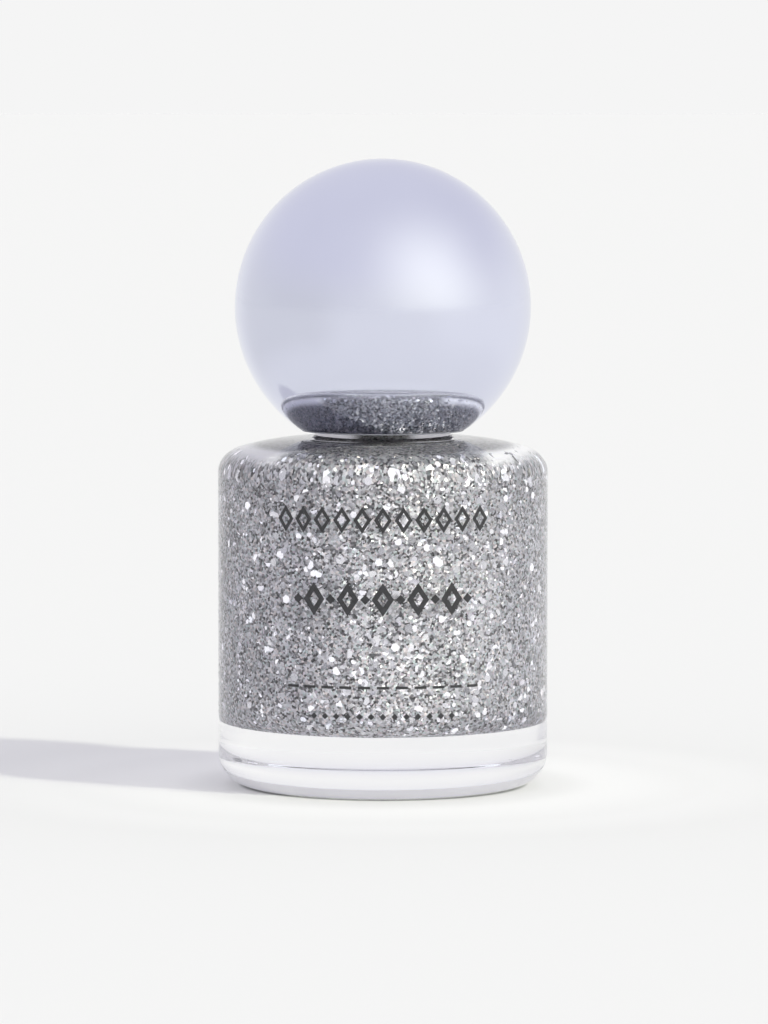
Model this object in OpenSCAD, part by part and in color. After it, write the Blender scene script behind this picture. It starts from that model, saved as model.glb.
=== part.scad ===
/* [Bottle] */
// Radius of the glass body
bottle_r = 15.1; // [14.5:0.1:15.6]
// Height of the shoulder where the neck starts
shoulder_z = 31.9; // [31.5:0.1:32]
// Height that the shoulder falls between the neck and its rounded corner
shoulder_fall = 0.82; // [0.6:0.02:1]
// Radius of the rounded corner at the base
base_corner = 3; // [2:0.1:4]
// Height of the shallow hollow under the base
push_up = 0.5; // [0.3:0.1:0.8]
// Height of the cavity's floor, which is the thickness of the base
floor_z = 5.6; // [5:0.1:7]
// Thickness of the side wall
wall_t = 1.7; // [1.4:0.1:2]
// Radius of the fillet round the cavity's floor
floor_fillet = 2.5; // [2.2:0.1:2.8]

/* [Neck finish] */
// Height of the lip, where the neck ends
lip_z = 43; // [42.8:0.1:43]
// Radius of the neck between its threads
neck_r = 5.75; // [5.7:0.01:5.8]
// Radius of the bead at the foot of the neck
bead_r = 6.3; // [6.1:0.05:6.4]
// Radius over the neck's threads
thread_r = 6.45; // [6.4:0.01:6.45]
// Rise of the thread in one turn
thread_pitch = 2.117; // [2:0.001:2.2]
// Turns of thread on the neck
thread_turns = 1.75; // [1:0.25:2]
// Radius of the mouth
mouth_r = 4; // [3.8:0.05:4.1]

/* [Lacquer] */
// Height of the lacquer's surface in the neck
fill_z = 34.5; // [34:0.5:36]
// Gap that the lacquer keeps from what stands in it
wet_gap = 0.1; // [0.05:0.05:0.15]

/* [Mixing balls] */
// Radius of each steel ball
mix_r = 2; // [1.5:0.1:2]
// Radius of the circle on which the balls' centres roll
mix_orbit = 10.6; // [9:0.1:10.7]

/* [Ball cap] */
// Outside radius of the ball
ball_r = 13.5; // [13.2:0.1:13.8]
// Height of the ball's centre
ball_z = 43.8; // [43.7:0.1:43.9]
// Thickness of the ball's wall
ball_wall = 1.8; // [1.6:0.1:2]
// Height of the flat cut across the bottom of the ball
cut_z = 32.5; // [32.4:0.1:32.6]
// Radius of the opening round the neck
opening_r = 6.65; // [6.6:0.05:6.7]
// Height of the lap joint between the two shells
lap_h = 1.6; // [1:0.1:2]
// Stiffening ribs inside the lower shell
rib_count = 6; // [4:1:8]

/* [Inner cap] */
// Outside radius of the inner cap
inner_r = 7.6; // [7.5:0.05:7.7]
// Height of the inner cap's lower edge
inner_z = 33.5; // [33.4:0.1:33.6]
// Radius of the skirt's inside between its threads
skirt_r = 7.05; // [7:0.05:7.1]
// Radius of the hole that the skirt's threads leave
skirt_thread_r = 6.5; // [6.5:0.01:6.6]
// Thickness of the inner cap's top panel
panel_t = 1.5; // [1.2:0.1:1.8]
// Keys that stop the inner cap turning in the ball
key_count = 8; // [4:1:10]

/* [Brush] */
// Thickness of the sealing washer
liner_t = 0.5; // [0.4:0.1:0.7]
// Thickness of the stem's flange
flange_t = 1; // [0.8:0.1:1.2]
// Radius of the plug that stops the mouth
plug_r = 3.9; // [3.7:0.05:3.95]
// Radius of the stem below its plug
rod_r = 1.9; // [1.8:0.05:2]
// Radius of the stem at its tip
rod_tip_r = 1.75; // [1.7:0.05:1.8]
// Height of the stem's tip
rod_z = 16; // [15:0.5:18]
// Radius of the hole that holds the filaments
tuft_bore_r = 1.3; // [1.2:0.05:1.35]
// Depth of the hole that holds the filaments
tuft_bore_depth = 3.5; // [3:0.5:4]
// Widest radius of the filaments
tuft_r = 1.95; // [1.8:0.05:2]
// Height of the filaments' tip
tuft_z = 7.3; // [7:0.1:9]

/* [Print] */
// Thickness of the ink
ink_t = 0.05; // [0.04:0.01:0.08]
// Width of the thin strokes
stroke_w = 0.24; // [0.16:0.02:0.3]
// Width of the bold strokes
bold_w = 0.36; // [0.3:0.02:0.4]

/* [Hidden] */
$fn = 96;
slip = 0.05;
hair = 0.02;

// Glass: the rounded shoulder corner, and the crown between it and the neck
corner_rx = 3.2;
corner_rz = 2.45;
corner_end = 72;
corner_x = bottle_r - corner_rx;
corner_z = shoulder_z - shoulder_fall - corner_rz * sin(corner_end);
neck_fillet = 0.35;
crown_x = bead_r + neck_fillet;
crown_run = corner_x + corner_rx * cos(corner_end) - crown_x;
bead_top = shoulder_z + 1.1;
bead_bevel = 0.5;
base_ring = 10;
dish_r = base_ring - 0.8;
lip_round = 0.6;
mouth_bevel = 0.3;

// Cavity: wall, shoulder and the throat that leads into the neck
cavity_r = bottle_r - wall_t;
cavity_corner = 1.8;
cavity_corner_end = 84;
cavity_top = shoulder_z - 1.7;
throat_round = 3.4;
throat_z = cavity_top + 0.3 + throat_round;

// Threads
thread_z = lip_z - 1.4 - thread_turns * thread_pitch;
thread_sides = 40;
thread_root = 1.3;
thread_crest = 0.6;
thread_sink = 0.3;
thread_fade = 0.12;
skirt_turns = 1.5;
skirt_thread_z = 35.3;

// Washer, flange and panel, one above another from the lip
liner_in = plug_r + 0.15;
liner_out = 6.2;
flange_z = lip_z + liner_t;
flange_r = 6.3;
panel_z = flange_z + flange_t;
inner_top = panel_z + panel_t;

// Stem
spigot_r = 2.2;
barb_r = 2.45;
barb_h = 1.2;
core_r = 0.9;
core_z = 24;
plug_h = 1.6;
plug_cone = 2.4;
tip_bevel = 0.2;

// Closed dome of the inner cap, over the end of the spigot
dome_t = 1;
dome_r = barb_r + slip + dome_t;
dome_z = inner_top + barb_h + 2 * slip;

// Ball: socket for the inner cap, keys, ribs and the ring that holds the inner cap down
ball_in = ball_r - ball_wall;
lap_r = (ball_r + ball_in) / 2;
socket_r = inner_r + slip;
socket_out = socket_r + 1.1;
socket_z = 34.2;
socket_top = inner_top - 1;
key_w = 1;
key_r = inner_r + 0.45;
key_z = inner_z + 2;
rib_t = 1;
rib_top = ball_z - 2;
hold_in = 5.9;
hold_out = 7;
hold_z = inner_top + slip;

// Filaments and their staple
tuft_neck_r = tuft_bore_r - 0.03;
tuft_wide_z = 10.2;
staple_size = [2.9, 0.35, 1.5];
staple_z = rod_z + 1.4;

// Print: the height of each row on the glass
ink_r = bottle_r + hair;
outline_row_z = 25.4;
bold_row_z = 18.3;
dash_row_z = 10.4;
dot_row_z = 7.8;

// Points along an ellipse's arc, from angle a0 to angle a1
function arc(cx, cz, rx, rz, a0, a1, n = 12) =
    [for (i = [0:n]) let (a = a0 + (a1 - a0) * i / n) [cx + rx * cos(a), cz + rz * sin(a)]];

function backwards(points) = [for (i = [len(points) - 1:-1:0]) points[i]];

// The shoulder from its rounded corner in to the neck, flatter as it nears the neck
crown = [
    for (i = [7:-1:1])
        let (part = i / 8)
        [crown_x + crown_run * part, shoulder_z - shoulder_fall * part * part]
];

// Outside of the glass, from the middle of the base up to the mouth
glass_outside = concat(
    [[0, push_up], [dish_r, push_up], [base_ring, 0]],
    arc(bottle_r - base_corner, base_corner, base_corner, base_corner, -90, 0),
    arc(corner_x, corner_z, corner_rx, corner_rz, 0, corner_end),
    crown,
    arc(crown_x, shoulder_z + neck_fillet, neck_fillet, neck_fillet, 270, 180, 5),
    [[bead_r, bead_top], [neck_r, bead_top + bead_bevel]],
    arc(neck_r - lip_round, lip_z - lip_round, lip_round, lip_round, 0, 90, 5),
    [[mouth_r + mouth_bevel, lip_z], [mouth_r, lip_z - mouth_bevel]]
);

// The cavity from the middle of its floor up to the foot of the mouth, drawn in by a gap
function cavity(gap) = concat(
    [[0, floor_z + gap]],
    arc(cavity_r - floor_fillet, floor_z + floor_fillet, floor_fillet - gap, floor_fillet - gap, -90, 0),
    arc(
        cavity_r - cavity_corner, cavity_top - cavity_corner,
        cavity_corner - gap, cavity_corner - gap, 0, cavity_corner_end
    ),
    arc(mouth_r + throat_round, throat_z, throat_round + gap, throat_round + gap, 270, 180)
);

// Outside of the filaments, from their tip up to the stem
tuft_outside = concat(
    [for (a = [0:10:90]) [tuft_r * sin(a), tuft_wide_z - (tuft_wide_z - tuft_z) * cos(a)]],
    [[tuft_neck_r, rod_z]]
);

// Right-hand thread round a cylinder of radius r0, up or in to radius r1, faded at both ends
module thread(turns, z0, r0, r1) {
    rings = round(turns * thread_sides);
    way = sign(r1 - r0);
    root_r = r0 - way * thread_sink;
    points = [
        for (i = [0:rings])
            let (
                t = turns * i / rings,
                full = min(1, max(0.08, min(t, turns - t) / thread_fade)),
                crest_r = r0 + (r1 - r0) * full,
                z = z0 + thread_pitch * t,
                section = [
                    [root_r, z - thread_root / 2], [crest_r, z - thread_crest / 2 * full],
                    [crest_r, z + thread_crest / 2 * full], [root_r, z + thread_root / 2]
                ]
            )
            for (p = section) [p[0] * cos(360 * t), p[0] * sin(360 * t), p[1]]
    ];
    last = 4 * rings;
    sides = [
        for (i = [0:rings - 1], k = [0:3])
            let (a = 4 * i + k, b = 4 * i + (k + 1) % 4)
            each [[a, b, b + 4], [a, b + 4, a + 4]]
    ];
    faces = concat(sides, [[0, 2, 1], [0, 3, 2], [last, last + 1, last + 2], [last, last + 2, last + 3]]);
    polyhedron(points, way > 0 ? faces : [for (f = faces) backwards(f)]);
}

module turned(points) {
    rotate_extrude() polygon(points);
}

module ring(r_in, r_out, z0, z1) {
    turned([[r_in, z0], [r_out, z0], [r_out, z1], [r_in, z1]]);
}

// Copies round the axis
module around(count) {
    for (i = [0:count - 1]) rotate(360 * i / count) children();
}

// A block that stands on the circle between radii r0 and r1, w wide
module spoke(r0, r1, w, z0, z1) {
    translate([r0, -w / 2, z0]) cube([r1 - r0, w, z1 - z0]);
}

module mix_balls(r) {
    around(2) translate([mix_orbit, 0, floor_z + mix_r + hair]) sphere(r);
}

module glass_bottle() {
    color([0.9, 0.92, 0.96, 0.4]) {
        turned(concat(glass_outside, backwards(cavity(0))));
        thread(thread_turns, thread_z, neck_r, thread_r);
    }
}

module lacquer() {
    color([0.62, 0.62, 0.65]) difference() {
        turned(concat(cavity(hair), [[mouth_r - hair, fill_z], [0, fill_z]]));
        turned(concat(
            [[0, tuft_z - wet_gap]],
            [for (p = tuft_outside) if (p[0] > 0 && p[1] < rod_z) p + [wet_gap, -wet_gap / 2]],
            [[rod_tip_r + wet_gap, rod_z - wet_gap], [rod_r + wet_gap, fill_z + 1], [0, fill_z + 1]]
        ));
        mix_balls(mix_r + wet_gap);
    }
}

module mixing_balls() {
    color([0.75, 0.76, 0.78]) mix_balls(mix_r);
}

// Puts a flat shape on the front of the glass, at an angle round it and a height
module on_front(angle, z) {
    rotate(angle) translate([0, 1 - bottle_r, z]) rotate([90, 0, 0]) linear_extrude(2) children();
}

module lozenge(w, h) {
    polygon([[-w / 2, 0], [0, -h / 2], [w / 2, 0], [0, h / 2]]);
}

module open_lozenge(w, h, stroke) {
    difference() {
        lozenge(w, h);
        lozenge(w - 3 * stroke, h - 4.5 * stroke);
    }
}

// Plain marks in place of lettering: rows of open lozenges, of bold ones, of dashes and of dots
module printed_marks() {
    color([0.2, 0.2, 0.22]) intersection() {
        ring(ink_r, ink_r + ink_t, dot_row_z - 2, outline_row_z + 2);
        union() {
            for (i = [-5:5]) on_front(7 * i, outline_row_z) open_lozenge(1.6, 2.4, stroke_w);
            for (i = [-5:5]) on_front(6 * i, bold_row_z) {
                if (i % 2 == 0) open_lozenge(2, 3, bold_w);
                else lozenge(0.9, 0.9);
            }
            for (i = [-5:5]) on_front(6.4 * i, dash_row_z) square([1.1, stroke_w], center = true);
            for (i = [-6:6]) on_front(4 * i, dot_row_z) lozenge(0.6, 0.6);
        }
    }
}

module upper_shell() {
    color([0.76, 0.77, 0.86]) {
        difference() {
            translate([0, 0, ball_z]) sphere(ball_r);
            translate([0, 0, ball_z]) sphere(ball_in);
            translate([0, 0, cut_z - 5]) cylinder(r = ball_r + 1, h = ball_z - cut_z + 5);
            translate([0, 0, ball_z - 1]) cylinder(r = lap_r + slip / 2, h = lap_h + slip + 1);
        }
        intersection() {
            ring(hold_in, hold_out, hold_z, ball_z + ball_r);
            translate([0, 0, ball_z]) sphere(ball_in + ball_wall / 2);
        }
    }
}

module lower_shell() {
    color([0.76, 0.77, 0.86]) difference() {
        union() {
            difference() {
                translate([0, 0, ball_z]) sphere(ball_r);
                translate([0, 0, ball_z]) sphere(ball_in);
                translate([0, 0, ball_z]) cylinder(r = ball_r + 1, h = ball_r + 1);
            }
            ring(ball_in, lap_r - slip / 2, ball_z - 0.6, ball_z + lap_h);
            ring(socket_r - 0.2, socket_out, socket_z, socket_top);
            intersection() {
                around(rib_count) spoke(socket_out - 0.3, ball_r, rib_t, socket_z, rib_top);
                translate([0, 0, ball_z]) sphere(ball_in + ball_wall / 2);
            }
        }
        translate([0, 0, ball_z - ball_r - 1]) cylinder(r = ball_r, h = cut_z - ball_z + ball_r + 1);
        translate([0, 0, cut_z - 1]) cylinder(r = opening_r, h = inner_z - cut_z + 2);
        translate([0, 0, inner_z]) cylinder(r = socket_r, h = ball_r);
        around(key_count) spoke(inner_r - 1, key_r + slip, key_w + 2 * slip, key_z - slip, socket_top + 1);
    }
}

module inner_cap() {
    color([0.93, 0.93, 0.94]) {
        turned([
            [skirt_r + 0.2, inner_z], [inner_r, inner_z], [inner_r, inner_top],
            [dome_r, inner_top], [dome_r, dome_z + dome_t], [0, dome_z + dome_t], [0, dome_z],
            [barb_r + slip, dome_z], [barb_r + slip, inner_top], [spigot_r + slip, inner_top],
            [spigot_r + slip, panel_z], [skirt_r, panel_z], [skirt_r, inner_z + 0.4]
        ]);
        around(key_count) spoke(inner_r - 0.3, key_r, key_w, key_z, socket_top);
        thread(skirt_turns, skirt_thread_z, skirt_r, skirt_thread_r);
    }
}

module seal_liner() {
    color([0.97, 0.97, 0.95]) ring(liner_in, liner_out, lip_z, flange_z);
}

module brush_rod() {
    color([0.9, 0.9, 0.92]) turned([
        [0, rod_z + tuft_bore_depth], [tuft_bore_r, rod_z + tuft_bore_depth], [tuft_bore_r, rod_z],
        [rod_tip_r - tip_bevel, rod_z], [rod_tip_r, rod_z + tip_bevel],
        [rod_r, lip_z - plug_h - plug_cone], [plug_r, lip_z - plug_h], [plug_r, flange_z],
        [flange_r, flange_z], [flange_r, panel_z], [spigot_r, panel_z], [spigot_r, inner_top + slip],
        [barb_r, inner_top + slip], [spigot_r - 0.3, inner_top + barb_h], [core_r, inner_top + barb_h],
        [core_r, core_z], [0, core_z]
    ]);
}

module brush_tuft() {
    color([0.25, 0.25, 0.28]) difference() {
        turned(concat(
            tuft_outside,
            [[tuft_neck_r, rod_z + tuft_bore_depth - slip], [0, rod_z + tuft_bore_depth - slip]]
        ));
        translate([-staple_size[0] / 2, -staple_size[1] / 2 - hair, staple_z - hair])
            cube(staple_size + [0, 2 * hair, 2 * hair]);
    }
}

module brush_staple() {
    color([0.8, 0.75, 0.55])
        translate([-staple_size[0] / 2, -staple_size[1] / 2, staple_z]) cube(staple_size);
}

glass_bottle();
lacquer();
mixing_balls();
printed_marks();
upper_shell();
lower_shell();
inner_cap();
seal_liner();
brush_rod();
brush_tuft();
brush_staple();
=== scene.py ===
"""Looks of the nail polish bottle: glass, glitter lacquer, ball cap, brush, floor, light and camera.

Lengths are in millimetres until a mesh is made, and every mesh is in metres in the model's own frame.
"""

import math
import random

import bmesh
import bpy
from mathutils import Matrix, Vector


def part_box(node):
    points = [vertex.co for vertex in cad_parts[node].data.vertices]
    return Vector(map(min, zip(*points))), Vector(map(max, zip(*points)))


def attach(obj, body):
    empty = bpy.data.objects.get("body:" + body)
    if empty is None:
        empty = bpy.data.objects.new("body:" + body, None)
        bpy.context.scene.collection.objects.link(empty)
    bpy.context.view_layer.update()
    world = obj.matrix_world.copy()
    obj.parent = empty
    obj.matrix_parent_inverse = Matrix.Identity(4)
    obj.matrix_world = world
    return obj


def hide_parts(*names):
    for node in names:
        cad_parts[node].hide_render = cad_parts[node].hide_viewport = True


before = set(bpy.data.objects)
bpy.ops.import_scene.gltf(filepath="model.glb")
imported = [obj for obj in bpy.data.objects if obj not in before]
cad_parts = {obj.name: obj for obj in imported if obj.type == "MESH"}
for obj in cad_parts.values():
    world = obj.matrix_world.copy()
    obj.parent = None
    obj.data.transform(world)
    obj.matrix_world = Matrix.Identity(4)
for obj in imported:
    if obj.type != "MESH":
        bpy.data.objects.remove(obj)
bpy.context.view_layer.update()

MM = 0.001
SEED = 11


def node_box(name):
    """Lowest and highest corners of a CAD node, in millimetres."""
    low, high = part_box(name)
    return [v / MM for v in low], [v / MM for v in high]


# Bottle, read from the frame
GLASS_HIGH = node_box("glass_bottle")[1]
LACQUER_LOW, LACQUER_HIGH = node_box("lacquer")
BODY_R = GLASS_HIGH[0]
LIP_Z = GLASS_HIGH[2]
WET_FLOOR = LACQUER_LOW[2]
FILL_Z = LACQUER_HIGH[2]

# Ball cap and brush, read from the frame
BALL_HIGH = node_box("upper_shell")[1]
BALL_R = BALL_HIGH[0]
BALL_Z = BALL_HIGH[2] - BALL_R
CUT_Z = node_box("lower_shell")[0][2]
ROD_Z = node_box("brush_rod")[0][2]
TUFT_LOW, TUFT_HIGH = node_box("brush_tuft")
TUFT_R = TUFT_HIGH[0]
TIP_Z = TUFT_LOW[2]

# Outline of the glass, as in the design
BASE_CORNER = 3.0
BASE_RING = 10.0
PUSH_UP = 0.5
SHOULDER_Z = 31.9
SHOULDER_FALL = 0.82
CORNER_RX = 3.2
CORNER_RZ = 2.45
CORNER_END = 72
BEAD_R = 6.3
BEAD_TOP = SHOULDER_Z + 1.1
NECK_FOOT = BEAD_TOP + 0.4
NECK_R = 5.75
NECK_FILLET = 0.35
MOUTH_R = 4.0
LIP_ROUND = 0.6
MOUTH_ROUND = 0.4
THREAD_H = 0.7
THREAD_PITCH = 2.117
THREAD_TURNS = 1.75
THREAD_Z = LIP_Z - 1.4 - THREAD_TURNS * THREAD_PITCH
# Half the width of the thread's foot, the width of its flank, and the turns over which its ends fade
THREAD_FOOT = 0.72
THREAD_FLANK = 0.36
THREAD_FADE = 0.14

# Outline of the cavity, as in the design
WALL_T = 1.7
WALL_R = BODY_R - WALL_T
FLOOR_Z = 5.6
FLOOR_FILLET = 2.5
CAVITY_CORNER = 1.8
CAVITY_CORNER_END = 84
CAVITY_TOP = SHOULDER_Z - 1.7
THROAT_ROUND = 3.4
THROAT_Z = CAVITY_TOP + 0.3 + THROAT_ROUND

# The glass is drawn this far past its wall, into the lacquer, so no air shows between the two
OVERLAP = 0.08
# The lacquer's skin keeps this far from the wall, less than the mixing balls keep from the floor
SKIN_GAP = 0.01


# ---------------------------------------------------------------- mesh helpers


def arc(cx, cz, rx, rz, a0, a1, n=16):
    """Points along an ellipse's arc from angle a0 to angle a1, in degrees."""
    points = []
    for i in range(n + 1):
        a = math.radians(a0 + (a1 - a0) * i / n)
        points.append((cx + rx * math.cos(a), cz + rz * math.sin(a)))
    return points


def new_object(name, bm, sharp=40):
    """An object from a bmesh in millimetres, smooth except at edges sharper than an angle."""
    bmesh.ops.scale(bm, vec=(MM, MM, MM), verts=bm.verts)
    bmesh.ops.recalc_face_normals(bm, faces=bm.faces)
    for face in bm.faces:
        face.smooth = True
    for edge in bm.edges:
        edge.smooth = len(edge.link_faces) == 2 and edge.calc_face_angle() < math.radians(sharp)
    mesh = bpy.data.meshes.new(name)
    bm.to_mesh(mesh)
    bm.free()
    obj = bpy.data.objects.new(name, mesh)
    bpy.context.collection.objects.link(obj)
    return obj


def revolve(bm, outline, sides, radius_at):
    """Turn a closed outline of (radius, height) round Z. Points on the axis become single poles."""
    rows = []
    for r, z in outline:
        if r < 1e-6:
            rows.append([bm.verts.new((0, 0, z))])
            continue
        row = []
        for k in range(sides):
            a = 2 * math.pi * k / sides
            rr = radius_at(r, z, a) if radius_at else r
            row.append(bm.verts.new((rr * math.cos(a), rr * math.sin(a), z)))
        rows.append(row)
    closed = len(rows[0]) > 1 or len(rows[-1]) > 1
    for i in range(len(rows) if closed else len(rows) - 1):
        low, high = rows[i], rows[(i + 1) % len(rows)]
        for k in range(sides):
            ring = [low[k % len(low)], low[(k + 1) % sides % len(low)]]
            ring += [high[(k + 1) % sides % len(high)], high[k % len(high)]]
            corners = []
            for v in ring:
                if v not in corners:
                    corners.append(v)
            if len(corners) > 2:
                bm.faces.new(corners)


def lathe(name, outline, sides, radius_at=None, sharp=40):
    """An object from a closed outline turned round Z."""
    bm = bmesh.new()
    revolve(bm, outline, sides, radius_at)
    return new_object(name, bm, sharp)


# ---------------------------------------------------------------- node helpers


def material(name):
    """A new material with its node tree emptied but for the output and one Principled shader."""
    mat = bpy.data.materials.new(name)
    mat.use_nodes = True
    tree = mat.node_tree
    tree.nodes.clear()
    out = tree.nodes.new("ShaderNodeOutputMaterial")
    shader = tree.nodes.new("ShaderNodeBsdfPrincipled")
    tree.links.new(shader.outputs[0], out.inputs[0])
    return mat, tree, shader


def node(tree, kind, **settings):
    n = tree.nodes.new(kind)
    for key, value in settings.items():
        setattr(n, key, value)
    return n


def link(tree, a, b):
    tree.links.new(a, b)


def math_node(tree, operation, a, b=0.0, c=0.0):
    n = node(tree, "ShaderNodeMath", operation=operation)
    for i, value in enumerate((a, b, c)):
        if isinstance(value, (int, float)):
            n.inputs[i].default_value = value
        else:
            link(tree, value, n.inputs[i])
    return n.outputs[0]


def vector_node(tree, operation, a, b=None, scale=None):
    n = node(tree, "ShaderNodeVectorMath", operation=operation)
    for i, value in enumerate((a, b)):
        if value is None:
            continue
        if isinstance(value, tuple):
            n.inputs[i].default_value = value
        else:
            link(tree, value, n.inputs[i])
    if scale is not None:
        n.inputs["Scale"].default_value = scale
    return n.outputs["Value" if operation in ("DOT_PRODUCT", "LENGTH") else 0]


def object_mm(tree):
    """The point on the object, in millimetres."""
    coords = node(tree, "ShaderNodeTexCoord")
    return vector_node(tree, "SCALE", coords.outputs["Object"], scale=1 / MM)


def ramp(tree, factor, stops, interpolation="LINEAR"):
    """A colour ramp through (position, colour) stops."""
    n = node(tree, "ShaderNodeValToRGB")
    n.color_ramp.interpolation = interpolation
    elements = n.color_ramp.elements
    while len(elements) > 1:
        elements.remove(elements[-1])
    elements[0].position = stops[0][0]
    elements[0].color = (*stops[0][1], 1)
    for position, colour in stops[1:]:
        elements.new(position).color = (*colour, 1)
    link(tree, factor, n.inputs[0])
    return n.outputs[0]


def mix_colours(tree, factor, a, b, blend="MIX"):
    n = node(tree, "ShaderNodeMix", data_type="RGBA", blend_type=blend)
    for socket, value in ((n.inputs[0], factor), (n.inputs[6], a), (n.inputs[7], b)):
        if isinstance(value, (int, float)):
            socket.default_value = value
        elif isinstance(value, tuple):
            socket.default_value = (*value, 1)
        else:
            link(tree, value, socket)
    return n.outputs[2]


def noise(tree, where, scale, detail, roughness=0.5):
    n = node(tree, "ShaderNodeTexNoise")
    link(tree, where, n.inputs["Vector"])
    n.inputs["Scale"].default_value = scale
    n.inputs["Detail"].default_value = detail
    n.inputs["Roughness"].default_value = roughness
    return n.outputs["Fac"]


def bump(tree, height, distance_mm):
    n = node(tree, "ShaderNodeBump")
    n.inputs["Strength"].default_value = 1
    n.inputs["Distance"].default_value = distance_mm * MM
    link(tree, height, n.inputs["Height"])
    return n.outputs[0]


def rising(tree, value, low, high):
    """0 below the low value and 1 above the high one, smooth between."""
    n = node(tree, "ShaderNodeMapRange", interpolation_type="SMOOTHSTEP")
    link(tree, value, n.inputs["Value"])
    n.inputs["From Min"].default_value = low
    n.inputs["From Max"].default_value = high
    return n.outputs["Result"]


def grey(v):
    return (v, v, v)


def shade_above(tree, value, low, high, shade):
    """White below the low value and the shade above the high one."""
    return mix_colours(tree, rising(tree, value, low, high), (1, 1, 1), shade)


# ---------------------------------------------------------------- materials

# Glitter grains: widths, how far the coarse ones reach from their centres, the share of them that
# is left out, and how much all of them tilt
FINE_GRAIN = 0.2
COARSE_GRAIN = 0.36
COARSE_REACH = 0.42
COARSE_LEFT_OUT = 0.6
GRAIN_TILT = 0.9
# Painted shadow of the print, a dark streak on the glitter: its middle, and one over its radii
PRINT_SHADOW_AT = (-10.9, -7.8, 14.5)
PRINT_SHADOW_SQUASH = (0.55, 0.55, 0.17)
# Painted light on the lacquer: the height of the pale, glowing film painted on its underside for the
# light through the base, the roof's height, where the ball's reflection is painted pale and the glitter
# is shaded, the heights of the painted highlight crescents, and how they look
BASE_LIGHT_H = 0.06
ROOF_Z = 29.9
CRESCENT_Z = (31.7, 32.5)
PALE_PAINT = (0.9, 0.89, 0.95)
PALE_PAINT_GLOW = 0.12
CRESCENT_GLOW = 0.4
# Distances from the bottle's middle over which the floor's near and far tones run
NEAR_REACH = 60.0
FAR_REACH = 200.0


def clear_glass():
    """Clear glass that lets lamp light straight through, as real glass does."""
    mat, tree, shader = material("clear_glass")
    shader.inputs["Base Color"].default_value = (0.99, 0.99, 1, 1)
    shader.inputs["Transmission Weight"].default_value = 1
    shader.inputs["IOR"].default_value = 1.5
    shader.inputs["Roughness"].default_value = 0
    through = node(tree, "ShaderNodeBsdfTransparent")
    through.inputs[0].default_value = (0.94, 0.94, 0.95, 1)
    path = node(tree, "ShaderNodeLightPath")
    mixed = node(tree, "ShaderNodeMixShader")
    link(tree, path.outputs["Is Shadow Ray"], mixed.inputs[0])
    link(tree, shader.outputs[0], mixed.inputs[1])
    link(tree, through.outputs[0], mixed.inputs[2])
    link(tree, mixed.outputs[0], tree.nodes["Material Output"].inputs[0])
    return mat


def grains(tree, where, size, seed):
    """Random colour of each grain, and how far a point is from its grain's centre."""
    shifted = vector_node(tree, "ADD", where, (seed * 17.3, seed * 5.1, seed * 9.7))
    n = node(tree, "ShaderNodeTexVoronoi", feature="F1")
    link(tree, shifted, n.inputs["Vector"])
    n.inputs["Scale"].default_value = 1 / size
    return n.outputs["Color"], n.outputs["Distance"]


def tilted(tree, random_colour, amount):
    """The surface's normal, tilted at random for each grain."""
    geometry = node(tree, "ShaderNodeNewGeometry")
    centred = vector_node(tree, "SUBTRACT", random_colour, (0.5, 0.5, 0.5))
    pushed = vector_node(tree, "SCALE", centred, scale=amount)
    total = vector_node(tree, "ADD", geometry.outputs["Normal"], pushed)
    return vector_node(tree, "NORMALIZE", total)


def split(tree, colour):
    n = node(tree, "ShaderNodeSeparateColor")
    link(tree, colour, n.inputs[0])
    return n.outputs


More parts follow.
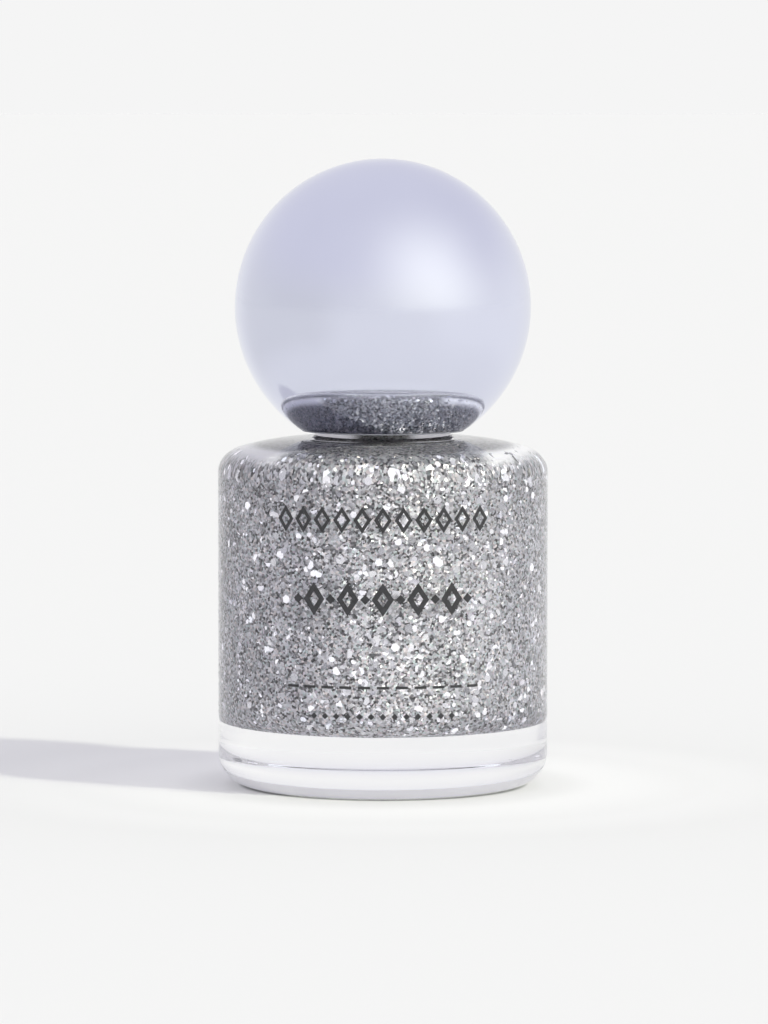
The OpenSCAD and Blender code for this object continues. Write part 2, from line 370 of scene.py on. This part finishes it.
def glitter_lacquer():
    """
    Packed silver glitter: fine grains with coarser ones among them, each with its own tilt. Its
    brightness drifts slowly. Painted shade darkens it in a streak that stands for the print's shadow,
    under the shoulder's roof, towards the top and towards the right. It is painted a pale, glowing
    pearl where painted light stands in.
    """
    mat, tree, shader = material("glitter_lacquer")
    where = object_mm(tree)
    fine, _ = grains(tree, where, FINE_GRAIN, 1)
    coarse, coarse_far = grains(tree, where, COARSE_GRAIN, 2)
    fine_r, fine_g, _ = split(tree, fine)
    coarse_r, coarse_g, _ = split(tree, coarse)
    fine_tone = ramp(tree, fine_r, [
        (0.0, grey(0.05)), (0.15, grey(0.24)), (0.42, grey(0.6)), (0.64, grey(0.9)), (0.78, grey(1.0)),
    ])
    coarse_tone = ramp(tree, coarse_r, [
        (0.0, grey(0.3)), (0.3, grey(0.6)), (0.6, grey(0.95)), (1.0, grey(1.0)),
    ])
    in_grain = math_node(tree, "LESS_THAN", coarse_far, COARSE_REACH)
    chosen = math_node(tree, "GREATER_THAN", coarse_g, COARSE_LEFT_OUT)
    is_coarse = math_node(tree, "MULTIPLY", in_grain, chosen)
    tone = mix_colours(tree, is_coarse, fine_tone, coarse_tone)
    tint = ramp(tree, fine_g, [
        (0.0, (1.0, 0.9, 0.93)), (0.25, (0.94, 0.92, 1.0)), (0.7, (0.92, 0.91, 1.0)),
        (0.9, (0.86, 0.96, 1.0)), (1.0, (1.0, 0.86, 1.0)),
    ])
    drift = ramp(tree, noise(tree, where, 0.24, 3.0), [(0.36, grey(0.82)), (0.58, grey(1.0))])
    # Painted shadow of the print: a soft dark streak on the glitter
    streak = vector_node(tree, "SUBTRACT", where, PRINT_SHADOW_AT)
    streak = vector_node(tree, "MULTIPLY", streak, PRINT_SHADOW_SQUASH)
    print_shadow = ramp(tree, vector_node(tree, "LENGTH", streak), [(0.35, grey(0.86)), (1.1, grey(1.0))])
    parts = node(tree, "ShaderNodeSeparateXYZ")
    link(tree, where, parts.inputs[0])
    # Painted shade: the glitter is darker under the shoulder's roof, where the ball's shadow falls, and
    # darker towards the top
    roof = shade_above(tree, parts.outputs[2], ROOF_Z - 0.4, ROOF_Z, grey(0.66))
    upper = shade_above(tree, parts.outputs[2], 25.5, 28.5, grey(0.8))
    # Painted shade: darker towards the right, evening out the key light from that side
    right = shade_above(tree, parts.outputs[0], 3, 13, (0.86, 0.86, 0.9))
    for shade in (drift, print_shadow, roof, upper, right):
        tone = mix_colours(tree, 1.0, tone, shade, "MULTIPLY")
    silver = mix_colours(tree, 1.0, tone, tint, "MULTIPLY")
    # Painted light: the lacquer is painted pale pearl where light is painted on it
    painted_pale, crescent = painted_light_places(tree, parts.outputs)
    link(tree, mix_colours(tree, painted_pale, silver, PALE_PAINT), shader.inputs["Base Color"])
    # Painted light: these pale places glow, and the crescents glow brightest
    glow = mix_colours(tree, painted_pale, (0, 0, 0), tuple(PALE_PAINT_GLOW * c for c in PALE_PAINT))
    glow = mix_colours(tree, crescent, glow, tuple(CRESCENT_GLOW * c for c in PALE_PAINT))
    link(tree, glow, shader.inputs["Emission Color"])
    shader.inputs["Emission Strength"].default_value = 1
    grained = tilted(tree, mix_colours(tree, is_coarse, fine, coarse), GRAIN_TILT)
    geometry = node(tree, "ShaderNodeNewGeometry")
    normal = node(tree, "ShaderNodeMix", data_type="VECTOR")
    link(tree, painted_pale, normal.inputs[0])
    link(tree, grained, normal.inputs[4])
    link(tree, geometry.outputs["Normal"], normal.inputs[5])
    link(tree, normal.outputs[1], shader.inputs["Normal"])
    glittering = math_node(tree, "SUBTRACT", 1.0, painted_pale)
    link(tree, math_node(tree, "MULTIPLY", glittering, 0.35), shader.inputs["Metallic"])
    shader.inputs["Roughness"].default_value = 0.34
    return mat


def painted_light_places(tree, parts):
    """
    How pale the lacquer is painted: pale and clear of glitter on its underside, as painted light that
    stands for the light through the base;
    pale under the shoulder to the left and right, as a painted reflection of the ball; and in two
    crescents at the foot of the neck, as painted highlights. The crescents alone come second.
    """
    across = math_node(tree, "ABSOLUTE", parts[0])
    along_view = math_node(tree, "ABSOLUTE", parts[1])
    aside = rising(tree, math_node(tree, "SUBTRACT", across, along_view), -1.5, 1.5)
    high = rising(tree, parts[2], ROOF_Z - 0.9, ROOF_Z)
    level = node(tree, "ShaderNodeCombineXYZ")
    link(tree, across, level.inputs[0])
    link(tree, along_view, level.inputs[1])
    outer = rising(tree, vector_node(tree, "LENGTH", level.outputs[0]), 11.0, 12.4)
    # Painted reflection of the ball: pale under the shoulder to the left and right
    ball_reflection = math_node(tree, "MULTIPLY", math_node(tree, "MULTIPLY", aside, high), outer)
    above = math_node(tree, "GREATER_THAN", parts[2], CRESCENT_Z[0])
    below = math_node(tree, "LESS_THAN", parts[2], CRESCENT_Z[1])
    band = math_node(tree, "MULTIPLY", above, below)
    # Painted highlights: two pale, glowing crescents at the foot of the neck
    crescent = math_node(tree, "MULTIPLY", band, rising(tree, across, 1.6, 3.2))
    # Painted light through the base: the underside is pale and glowing, and reaches higher towards the
    # back
    deep = math_node(tree, "MULTIPLY_ADD", rising(tree, parts[1], 0, 3), 1.2, WET_FLOOR + BASE_LIGHT_H)
    under = math_node(tree, "LESS_THAN", parts[2], deep)
    pale = math_node(tree, "MAXIMUM", under, math_node(tree, "MAXIMUM", ball_reflection, crescent))
    return pale, crescent


def flake_foil():
    """Cut silver foil: each flake has its own brightness and faint tint, and over half of them glow
    with a painted highlight.
    """
    mat, tree, shader = material("flake_foil")
    geometry = node(tree, "ShaderNodeNewGeometry")
    chance = geometry.outputs["Random Per Island"]
    tone = ramp(tree, chance, [
        (0.0, (0.4, 0.4, 0.43)), (0.15, (0.62, 0.62, 0.67)), (0.35, (0.88, 0.87, 0.93)),
        (0.55, (1.0, 0.99, 1.0)), (0.9, (1.0, 1.0, 1.0)), (0.94, (0.9, 0.97, 1.0)),
        (1.0, (1.0, 0.92, 0.86)),
    ])
    link(tree, tone, shader.inputs["Base Color"])
    # Painted highlight: over half the flakes glow, and the glow grows with each flake's chance
    painted_glint = ramp(tree, chance, [(0.45, grey(0)), (0.5, (0.1, 0.1, 0.13)), (1.0, (0.32, 0.31, 0.38))])
    link(tree, painted_glint, shader.inputs["Emission Color"])
    shader.inputs["Emission Strength"].default_value = 1
    shader.inputs["Metallic"].default_value = 0.8
    shader.inputs["Roughness"].default_value = 0.25
    return mat


def pearl_coating():
    """Pale lavender metallised coating with a faint orange peel, polished low down, satin above."""
    mat, tree, shader = material("pearl_coating")
    where = object_mm(tree)
    cloud = noise(tree, where, 0.12, 2.0)
    tone = ramp(tree, cloud, [(0.3, (0.71, 0.73, 0.855)), (0.7, (0.73, 0.75, 0.875))])
    link(tree, tone, shader.inputs["Base Color"])
    shader.inputs["Metallic"].default_value = 1
    peel = noise(tree, where, 0.8, 2.0)
    link(tree, bump(tree, peel, 0.002), shader.inputs["Normal"])
    parts = node(tree, "ShaderNodeSeparateXYZ")
    link(tree, where, parts.inputs[0])
    softer = rising(tree, parts.outputs[2], CUT_Z + 4, CUT_Z + 12)
    uneven = noise(tree, where, 2.5, 4.0)
    polished = ramp(tree, uneven, [(0.3, grey(0.08)), (0.7, grey(0.11))])
    satin = ramp(tree, uneven, [(0.3, grey(0.18)), (0.7, grey(0.2))])
    link(tree, mix_colours(tree, softer, polished, satin), shader.inputs["Roughness"])
    return mat


def moulded_plastic(name, colour, roughness, grain=6.0, depth=0.006):
    """Moulded plastic with a fine spark-eroded grain and a slight mottling."""
    mat, tree, shader = material(name)
    where = object_mm(tree)
    mottle = noise(tree, where, 0.5, 4.0)
    darker = tuple(0.93 * c for c in colour)
    link(tree, ramp(tree, mottle, [(0.3, darker), (0.7, colour)]), shader.inputs["Base Color"])
    texture = noise(tree, where, grain, 3.0)
    low, high = grey(roughness - 0.06), grey(roughness + 0.06)
    link(tree, ramp(tree, texture, [(0.3, low), (0.7, high)]), shader.inputs["Roughness"])
    link(tree, bump(tree, texture, depth), shader.inputs["Normal"])
    shader.inputs["Subsurface Weight"].default_value = 0.1
    shader.inputs["Subsurface Radius"].default_value = (0.6 * MM, 0.6 * MM, 0.6 * MM)
    return mat


def liner_foam():
    """Closed-cell foam with the pits of its cells."""
    mat, tree, shader = material("liner_foam")
    where = object_mm(tree)
    _, far = grains(tree, where, 0.12, 3)
    cells = ramp(tree, far, [(0.1, grey(0.8)), (0.5, (0.93, 0.93, 0.9))])
    link(tree, cells, shader.inputs["Base Color"])
    link(tree, bump(tree, far, 0.03), shader.inputs["Normal"])
    shader.inputs["Roughness"].default_value = 0.75
    return mat


def printed_ink():
    """Screen-printed ink: dense dark grey with pinholes and a slightly uneven film."""
    mat, tree, shader = material("printed_ink")
    where = object_mm(tree)
    film = noise(tree, where, 3.0, 5.0, 0.6)
    dark = ramp(tree, film, [(0.3, grey(0.018)), (0.7, (0.045, 0.045, 0.052))])
    link(tree, dark, shader.inputs["Base Color"])
    link(tree, ramp(tree, film, [(0.3, grey(0.3)), (0.7, grey(0.45))]), shader.inputs["Roughness"])
    link(tree, bump(tree, film, 0.004), shader.inputs["Normal"])
    return mat


def drawn_metal(name, colour, roughness):
    """Polished metal with fine random scratches."""
    mat, tree, shader = material(name)
    where = object_mm(tree)
    stretched = vector_node(tree, "MULTIPLY", where, (1.0, 1.0, 12.0))
    scratch = noise(tree, stretched, 4.0, 6.0, 0.7)
    darker = tuple(0.85 * c for c in colour)
    link(tree, ramp(tree, scratch, [(0.3, darker), (0.7, colour)]), shader.inputs["Base Color"])
    low, high = grey(roughness), grey(roughness + 0.15)
    link(tree, ramp(tree, scratch, [(0.4, low), (0.75, high)]), shader.inputs["Roughness"])
    link(tree, bump(tree, scratch, 0.003), shader.inputs["Normal"])
    shader.inputs["Metallic"].default_value = 1
    return mat


def nylon():
    """Dark nylon filaments, each with its own shade and gloss."""
    mat, tree, shader = material("nylon")
    geometry = node(tree, "ShaderNodeNewGeometry")
    chance = geometry.outputs["Random Per Island"]
    dark = ramp(tree, chance, [(0.0, grey(0.03)), (1.0, (0.11, 0.11, 0.13))])
    link(tree, dark, shader.inputs["Base Color"])
    link(tree, ramp(tree, chance, [(0.0, grey(0.25)), (1.0, grey(0.4))]), shader.inputs["Roughness"])
    return mat


def floor_paper():
    """
    Matte pale paper. Away from the bottle it is painted a little dimmer on the left and brighter on the
    right, as painted light.
    Near the bottle it has a thin painted contact shade and a glowing pool of painted light, where the
    clear glass would let light through onto it.
    """
    mat, tree, shader = material("floor_paper")
    where = object_mm(tree)
    away = vector_node(tree, "LENGTH", where)
    parts = node(tree, "ShaderNodeSeparateXYZ")
    link(tree, vector_node(tree, "NORMALIZE", where), parts.inputs[0])
    near = math_node(tree, "DIVIDE", away, NEAR_REACH)
    outward = math_node(tree, "DIVIDE", away, FAR_REACH)
    # Painted light: away from the bottle the paper is painted dimmer on the left and brighter on the
    # right
    far = ramp(tree, outward, [(0.22, grey(0)), (0.7, grey(1))], "EASE")
    side = side_light(tree, parts.outputs[0])
    paper = mix_colours(tree, split(tree, far)[0], (1, 1, 1), side)
    # Painted shade: a thin dark ring where the glass meets the paper
    contact = ramp(tree, near, [
        (0.2, grey(1)), (0.205, grey(0.3)), (0.212, grey(0.35)), (0.222, grey(1)),
    ])
    paper = mix_colours(tree, 1.0, paper, contact, "MULTIPLY")
    link(tree, mix_colours(tree, 1.0, paper, FLOOR_TONE, "MULTIPLY"), shader.inputs["Base Color"])
    # Painted pool of light: the paper glows under and near the bottle, where the glass would let light
    # through
    painted_spill = ramp(tree, near, [
        (0.0, grey(2 * PAINTED_SPILL)), (0.19, grey(2 * PAINTED_SPILL)), (0.203, grey(0)), (0.213, grey(0)),
        (0.225, grey(0.7 * PAINTED_SPILL)), (0.262, grey(0.5 * PAINTED_SPILL)),
        (0.33, grey(PAINTED_SPILL)), (0.5, grey(0.4 * PAINTED_SPILL)), (0.68, grey(0)),
    ], "EASE")
    link(tree, painted_spill, shader.inputs["Emission Color"])
    shader.inputs["Emission Strength"].default_value = 1
    shader.inputs["Roughness"].default_value = 1
    shader.inputs["Specular IOR Level"].default_value = 0
    return mat


def side_light(tree, across):
    """White in the middle, a little dimmer towards the left and brighter towards the right."""
    shifted = math_node(tree, "MULTIPLY_ADD", across, 0.5, 0.5)
    left, right = grey(DIM_LEFT), grey(BRIGHT_RIGHT)
    return ramp(tree, shifted, [(0.05, left), (0.28, grey(1)), (0.72, grey(1)), (0.95, right)], "EASE")


# ---------------------------------------------------------------- bottle


def glass_outside():
    """Outside of the glass from the middle of the base up to the foot of the neck."""
    dish_round = 0.8
    rim_round = 0.35
    bead_round = 0.25
    crown_x = BEAD_R + NECK_FILLET
    corner_x = BODY_R - CORNER_RX
    corner_z = SHOULDER_Z - SHOULDER_FALL - CORNER_RZ * math.sin(math.radians(CORNER_END))
    run = corner_x + CORNER_RX * math.cos(math.radians(CORNER_END)) - crown_x
    crown = []
    for i in range(15, 0, -1):
        part = i / 16
        crown.append((crown_x + run * part, SHOULDER_Z - SHOULDER_FALL * part * part))
    return (
        [(0, PUSH_UP), (4, PUSH_UP), (BASE_RING - 2 * dish_round, PUSH_UP)]
        + arc(BASE_RING - 2 * dish_round, PUSH_UP - dish_round, dish_round, dish_round, 90, 45, 4)
        + arc(BASE_RING + 0.4, rim_round, rim_round, rim_round, 225, 270, 4)
        + arc(BODY_R - BASE_CORNER, BASE_CORNER, BASE_CORNER, BASE_CORNER, -90, 0, 24)
        + arc(corner_x, corner_z, CORNER_RX, CORNER_RZ, 0, CORNER_END, 24)
        + crown
        + arc(crown_x, SHOULDER_Z + NECK_FILLET, NECK_FILLET, NECK_FILLET, 270, 180, 8)
        + arc(BEAD_R - bead_round, BEAD_TOP - bead_round, bead_round, bead_round, 0, 70, 5)
        + [(NECK_R + 0.12, BEAD_TOP + 0.18), (NECK_R, NECK_FOOT)]
    )


def cavity(gap):
    """The cavity from the middle of its floor up to the foot of the mouth, drawn in by a gap."""
    fillet = FLOOR_FILLET - gap
    corner = CAVITY_CORNER - gap
    throat = THROAT_ROUND + gap
    return (
        [(0, FLOOR_Z + gap)]
        + arc(WALL_R - FLOOR_FILLET, FLOOR_Z + FLOOR_FILLET, fillet, fillet, -90, 0)
        + arc(WALL_R - CAVITY_CORNER, CAVITY_TOP - CAVITY_CORNER, corner, corner, 0, CAVITY_CORNER_END)
        + arc(MOUTH_R + THROAT_ROUND, THROAT_Z, throat, throat, 270, 180)
    )


def thread_radius(r, z, a):
    """Radius of the neck at height z and angle a, where the thread stands out of it."""
    turn = (z - THREAD_Z) / THREAD_PITCH - a / (2 * math.pi)
    best = 0.0
    for k in range(-1, 4):
        t = a / (2 * math.pi) + k
        if t < -0.2 or t > THREAD_TURNS + 0.2:
            continue
        off = abs(turn - k) * THREAD_PITCH
        flank = min(1.0, max(0.0, (THREAD_FOOT - off) / THREAD_FLANK))
        ends = min(1.0, max(0.0, min(t + 0.06, THREAD_TURNS - t + 0.06) / THREAD_FADE))
        smooth = flank * flank * (3 - 2 * flank) * ends * ends * (3 - 2 * ends)
        best = max(best, smooth)
    return r + THREAD_H * best


def make_glass():
    """The glass bottle as one closed mesh, with its thread raised out of the neck."""
    rows = 72
    top = LIP_Z - LIP_ROUND
    threads = [(NECK_R, NECK_FOOT + (top - NECK_FOOT) * i / rows) for i in range(1, rows)]
    outline = (
        glass_outside()
        + threads
        + arc(NECK_R - LIP_ROUND, LIP_Z - LIP_ROUND, LIP_ROUND, LIP_ROUND, 0, 90, 8)
        + arc(MOUTH_R + MOUTH_ROUND, LIP_Z - MOUTH_ROUND, MOUTH_ROUND, MOUTH_ROUND, 90, 180, 6)
        + [(MOUTH_R, FILL_Z + 0.5), (MOUTH_R - OVERLAP, FILL_Z - 0.1)]
        + list(reversed(cavity(OVERLAP)))
    )

    def radius_at(r, z, a):
        return thread_radius(r, z, a) if abs(r - NECK_R) < 1e-6 and z > NECK_FOOT - 0.1 else r

    glass = lathe("glass_bottle_look", outline, 224, radius_at)
    glass.data.materials.append(clear_glass())
    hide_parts("glass_bottle")
    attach(glass, "bottle")


def lacquer_outline():
    """Outside of the lacquer, with the meniscus that climbs the neck's wall."""
    edge = MOUTH_R - 0.02
    return (
        cavity(SKIN_GAP)
        + [(edge, FILL_Z - 0.3)]
        + [(edge, FILL_Z + 0.25), (edge - 0.12, FILL_Z + 0.05), (edge - 0.35, FILL_Z - 0.1)]
        + [(edge - 0.9, FILL_Z - 0.18), (1.5, FILL_Z - 0.2), (0, FILL_Z - 0.2)]
    )


def make_lacquer(glitter):
    lacquer = lathe("lacquer_look", lacquer_outline(), 160, sharp=60)
    lacquer.data.materials.append(glitter)
    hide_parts("lacquer")
    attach(lacquer, "bottle")


# Foil flakes: how many, their shape, their widths, how much they lean, and the side where most lie
FLAKES = 2200
FLAKE_SIDES = 6
FLAKE_T = 0.012
FLAKE_SIZES = (0.24, 0.28, 0.28, 0.32, 0.36, 0.42, 0.5, 0.6, 0.7, 0.82)
FLAKE_LEAN = 0.14
CROWDED = math.radians(-60)


def add_flake(bm, centre, normal, spin, size):
    """One foil flake: a thin closed prism of the given width across its corners."""
    up = Vector((0, 0, 1)) if abs(normal.z) < 0.9 else Vector((1, 0, 0))
    u = normal.cross(up).normalized()
    v = normal.cross(u)
    faces = []
    for side in (-0.5, 0.5):
        row = []
        for k in range(FLAKE_SIDES):
            a = spin + 2 * math.pi * k / FLAKE_SIDES
            p = centre + size / 2 * (math.cos(a) * u + math.sin(a) * v) + side * FLAKE_T * normal
            row.append(bm.verts.new(p))
        faces.append(row)
    bm.faces.new(faces[0])
    bm.faces.new(list(reversed(faces[1])))
    for k in range(FLAKE_SIDES):
        j = (k + 1) % FLAKE_SIDES
        bm.faces.new((faces[0][k], faces[1][k], faces[1][j], faces[0][j]))


def along(outline, distance):
    """Point and outward normal at a distance along an outline."""
    for (r0, z0), (r1, z1) in zip(outline, outline[1:]):
        step = math.hypot(r1 - r0, z1 - z0)
        if distance <= step or (r1, z1) == outline[-1]:
            part = min(1.0, distance / step) if step else 0.0
            return r0 + (r1 - r0) * part, z0 + (z1 - z0) * part, (z1 - z0) / step, -(r1 - r0) / step
        distance -= step


def make_flakes(foil):
    """Larger cut flakes that lie against the glass, most of them where the light comes from."""
    rng = random.Random(SEED)
    outline = [p for p in cavity(0.0) if p[0] > WALL_R - FLOOR_FILLET + 1]
    total = sum(math.dist(p, q) for p, q in zip(outline, outline[1:]))
    bm = bmesh.new()
    made = 0
    while made < FLAKES:
        r, z, nr, nz = along(outline, rng.random() * total)
        a = rng.uniform(0, 2 * math.pi)
        density = 0.5 + 0.5 * math.cos(a - CROWDED)
        if rng.random() > 0.25 + 0.75 * density ** 2:
            continue
        normal = Vector((nr * math.cos(a), nr * math.sin(a), nz))
        lean = Vector([rng.gauss(0, 1) for _ in range(3)]) * FLAKE_LEAN
        size = rng.choice(FLAKE_SIZES) * rng.uniform(0.9, 1.1)
        depth = rng.uniform(-0.05, 0.02)
        centre = Vector((r * math.cos(a), r * math.sin(a), z)) + depth * normal
        add_flake(bm, centre, (normal + lean).normalized(), rng.uniform(0, math.pi), size)
        made += 1
    flakes = new_object("glitter_flakes", bm)
    flakes.data.materials.append(foil)
    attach(flakes, "bottle")


# ---------------------------------------------------------------- ball cap

# Metallised skin: thickness, the rounding of its lower edge, and the radius of its opening
COAT_T = 0.012
COAT_EDGE = 0.35
COAT_OPENING_R = 6.66


def coating_outline():
    """Outline of the metallised skin over both shells, from the opening's edge round the whole ball."""
    outer = BALL_R + COAT_T
    low = CUT_Z - COAT_T
    cut_angle = math.degrees(math.asin((low - BALL_Z) / outer))
    edge_r = outer * math.cos(math.radians(cut_angle))
    start = cut_angle + 2.0
    join_r = outer * math.cos(math.radians(start))
    join_z = BALL_Z + outer * math.sin(math.radians(start))
    outside = [(COAT_OPENING_R, low), (edge_r - COAT_EDGE, low)]
    for i in range(1, 8):
        t = i / 8
        r = (1 - t) ** 2 * (edge_r - COAT_EDGE) + 2 * t * (1 - t) * edge_r + t * t * join_r
        z = (1 - t * t) * low + t * t * join_z
        outside.append((r, z))
    outside += arc(0, BALL_Z, outer, outer, start, 90, 120)[:-1] + [(0, BALL_Z + outer)]
    inner = BALL_R + 0.001
    inside = [(0, BALL_Z + inner)] + arc(0, BALL_Z, inner, inner, 90, start, 120)[1:]
    inside += [(edge_r - 0.02, CUT_Z - 0.002), (COAT_OPENING_R, CUT_Z - 0.002)]
    return outside + inside


def make_ball():
    coat = lathe("ball_coating", coating_outline(), 256, sharp=60)
    coat.data.materials.append(pearl_coating())
    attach(coat, "cap")
    return coat


# ---------------------------------------------------------------- brush

FILAMENTS = 220
FILAMENT_R = 0.05
FILAMENT_SIDES = 5


def tuft_radius(z):
    """Radius of the bundle of filaments at a height, between its tip and the stem."""
    part = (z - TIP_Z) / (ROD_Z - TIP_Z)
    neck = 1.24
    belly = TUFT_R - 0.08
    swell = math.sin(math.pi * min(1.0, part / 0.66) / 2) ** 0.6 if part > 0 else 0.0
    if part > 0.34:
        fall = (part - 0.34) / 0.66
        return belly + (neck - belly) * fall * fall * (3 - 2 * fall)
    return belly * swell ** 0.5


def add_filament(bm, points, radius):
    """A thin tube through points that tapers to a tip at its first point."""
    sides = FILAMENT_SIDES
    rows = []
    for i, p in enumerate(points):
        r = radius * (0.45 if i == 0 else 1.0)
        row = []
        for k in range(sides):
            a = 2 * math.pi * k / sides
            row.append(bm.verts.new(p + Vector((r * math.cos(a), r * math.sin(a), 0))))
        rows.append(row)
    for low, high in zip(rows, rows[1:]):
        for k in range(sides):
            j = (k + 1) % sides
            bm.faces.new((low[k], low[j], high[j], high[k]))
    tip = bm.verts.new(points[0] - Vector((0, 0, radius * 0.6)))
    for k in range(sides):
        bm.faces.new((rows[0][(k + 1) % sides], rows[0][k], tip))
    bm.faces.new(rows[-1])


def make_tuft():
    """The filaments, spread evenly over the bundle and cut to a rounded end."""
    rng = random.Random(SEED + 1)
    bm = bmesh.new()
    golden = math.pi * (3 - math.sqrt(5))
    for i in range(FILAMENTS):
        share = math.sqrt((i + 0.5) / FILAMENTS)
        a = golden * i
        tip_z = TIP_Z + 0.1 + 2.0 * share ** 2.5 + rng.uniform(0, 0.35)
        points = []
        for k in range(9):
            z = tip_z + (ROD_Z + 3.2 - tip_z) * k / 8
            wide = 1.18 if z > ROD_Z else tuft_radius(max(z, TIP_Z + 2.4))
            sway = 0.03 * math.sin(k * 1.7 + i)
            r = share * (wide - FILAMENT_R) + sway * (z < ROD_Z)
            points.append(Vector((r * math.cos(a), r * math.sin(a), z)))
        add_filament(bm, points, FILAMENT_R)
    tuft = new_object("brush_filaments", bm, 60)
    tuft.data.materials.append(nylon())
    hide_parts("brush_tuft")
    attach(tuft, "brush")


def make_wet_film(glitter):
    """The lacquer that clings to the filaments, lumpy and rounded at their tip."""
    film = [(0, TIP_Z - 0.25), (0.35, TIP_Z - 0.2), (0.8, TIP_Z + 0.1), (1.2, TIP_Z + 0.7)]
    film += [(1.5, TIP_Z + 1.5), (1.62, TIP_Z + 2.6), (1.5, TIP_Z + 4.0), (1.28, TIP_Z + 5.6)]
    film += [(1.0, TIP_Z + 7.4), (0.7, TIP_Z + 8.2), (0, TIP_Z + 8.4)]
    rng = random.Random(SEED + 2)
    phases = [rng.uniform(0, 2 * math.pi) for _ in range(3)]

    def lumpy(r, z, a):
        wave = math.sin(3 * a + phases[0] + z) + 0.6 * math.sin(7 * a + phases[1] - 1.3 * z)
        wave += 0.5 * math.sin(13 * a + phases[2] + 0.4 * z)
        return r * (1 + 0.035 * wave)

    clump = lathe("wet_lacquer", film, 72, lumpy, sharp=180)
    clump.data.materials.append(glitter)
    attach(clump, "brush")


# ---------------------------------------------------------------- CAD nodes


def dress(node_name, mat):
    """Give a CAD node's object a new material."""
    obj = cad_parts[node_name]
    if not obj.material_slots:
        obj.data.materials.append(mat)
    for slot in obj.material_slots:
        slot.material = mat


def dress_cad():
    dress("printed_marks", printed_ink())
    shell = moulded_plastic("shell_plastic", (0.74, 0.75, 0.84), 0.35)
    dress("upper_shell", shell)
    dress("lower_shell", shell)
    dress("inner_cap", moulded_plastic("white_plastic", (0.86, 0.86, 0.87), 0.42))
    dress("seal_liner", liner_foam())
    dress("brush_rod", moulded_plastic("stem_plastic", (0.8, 0.8, 0.82), 0.3, 4.0, 0.004))
    dress("brush_staple", drawn_metal("staple_metal", (0.8, 0.68, 0.4), 0.25))
    dress("mixing_balls", drawn_metal("ball_steel", (0.72, 0.73, 0.75), 0.12))


# ---------------------------------------------------------------- stage

# Floor, and the pool of light painted on it, glowing where the glass would let light through
FLOOR_TONE = (0.815, 0.812, 0.822)
PAINTED_SPILL = 0.11
# Surroundings: behind the bottle, in front of it and above, and how they change from left to right, a
# change that is also painted on the floor's paper
BACK = (0.913, 0.913, 0.913)
FRONT = (0.86, 0.86, 0.87)
SKY = (0.80, 0.795, 0.855)
DIM_LEFT = 0.905
BRIGHT_RIGHT = 1.05
# Broad soft light
GLOW = Vector((0.58, -0.68, 0.45)).normalized()
LOBE_POWER = 4.5
LOBE_COLOUR = (0.4, 0.4, 0.3)
# Key light
KEY = Vector((0.612, -0.354, 0.707)).normalized()
SUN_POWER = 1.2
SUN_COLOUR = (0.966, 1.0, 0.794)


def make_floor():
    bm = bmesh.new()
    bmesh.ops.create_grid(bm, x_segments=1, y_segments=1, size=6000)
    floor = new_object("floor", bm)
    floor.data.materials.append(floor_paper())


def make_world():
    """An even studio: plain at the horizon, a little dimmer above, with one broad soft light."""
    world = bpy.data.worlds.new("studio")
    bpy.context.scene.world = world
    world.use_nodes = True
    tree = world.node_tree
    tree.nodes.clear()
    out = node(tree, "ShaderNodeOutputWorld")
    background = node(tree, "ShaderNodeBackground")
    link(tree, background.outputs[0], out.inputs[0])
    way = node(tree, "ShaderNodeTexCoord").outputs["Generated"]
    height = vector_node(tree, "DOT_PRODUCT", way, (0, 0, 1))
    behind = vector_node(tree, "DOT_PRODUCT", way, (0, 1, 0))
    across = vector_node(tree, "DOT_PRODUCT", way, (1, 0, 0))
    backward = math_node(tree, "MULTIPLY_ADD", behind, 0.5, 0.5)
    middle = ramp(tree, backward, [(0.4, FRONT), (0.8, BACK)], "EASE")
    level = mix_colours(tree, 1.0, middle, side_light(tree, across), "MULTIPLY")
    lift = ramp(tree, height, [(0.0, grey(0)), (0.6, grey(1))], "EASE")
    rise = mix_colours(tree, split(tree, lift)[0], level, SKY)
    facing = vector_node(tree, "DOT_PRODUCT", way, tuple(GLOW))
    lobe = math_node(tree, "POWER", math_node(tree, "MAXIMUM", facing, 0.0), LOBE_POWER)
    glow = mix_colours(tree, lobe, (0, 0, 0), LOBE_COLOUR)
    total = mix_colours(tree, 1.0, rise, glow, "ADD")
    link(tree, total, background.inputs[0])


def make_sun(unlit):
    """The key light. The metallised ball keeps only the soft light, so it is left out of this one."""
    lamp = bpy.data.lights.new("key", "SUN")
    lamp.energy = SUN_POWER
    lamp.color = SUN_COLOUR
    lamp.angle = math.radians(3.5)
    sun = bpy.data.objects.new("key", lamp)
    sun.rotation_euler = (-KEY).to_track_quat("-Z", "Y").to_euler()
    bpy.context.collection.objects.link(sun)
    group = bpy.data.collections.new("key_light_receivers")
    for obj in unlit:
        group.objects.link(obj)
    sun.light_linking.receiver_collection = group
    for entry in group.collection_objects:
        entry.light_linking.link_state = "EXCLUDE"


def make_camera():
    """Long lens at the height and distance that give the photograph's framing and slight look down."""
    aim = Vector((0.1, 0, 25)) * MM
    away = 547 * MM
    lift = math.radians(4.4)
    place = aim + away * Vector((0, -math.cos(lift), math.sin(lift)))
    data = bpy.data.cameras.new("camera")
    data.lens = 210
    data.sensor_width = 36
    data.clip_start = 0.01
    data.clip_end = 100
    camera = bpy.data.objects.new("camera", data)
    camera.location = place
    camera.rotation_euler = (aim - place).to_track_quat("-Z", "Y").to_euler()
    bpy.context.collection.objects.link(camera)
    bpy.context.scene.camera = camera


def set_view():
    scene = bpy.context.scene
    scene.view_settings.view_transform = "Standard"
    scene.view_settings.look = "None"


# ---------------------------------------------------------------- build

make_camera()
set_view()
make_world()
make_floor()
make_glass()
glitter = glitter_lacquer()
make_lacquer(glitter)
make_flakes(flake_foil())
coat = make_ball()
make_tuft()
make_wet_film(glitter)
dress_cad()
make_sun([coat])
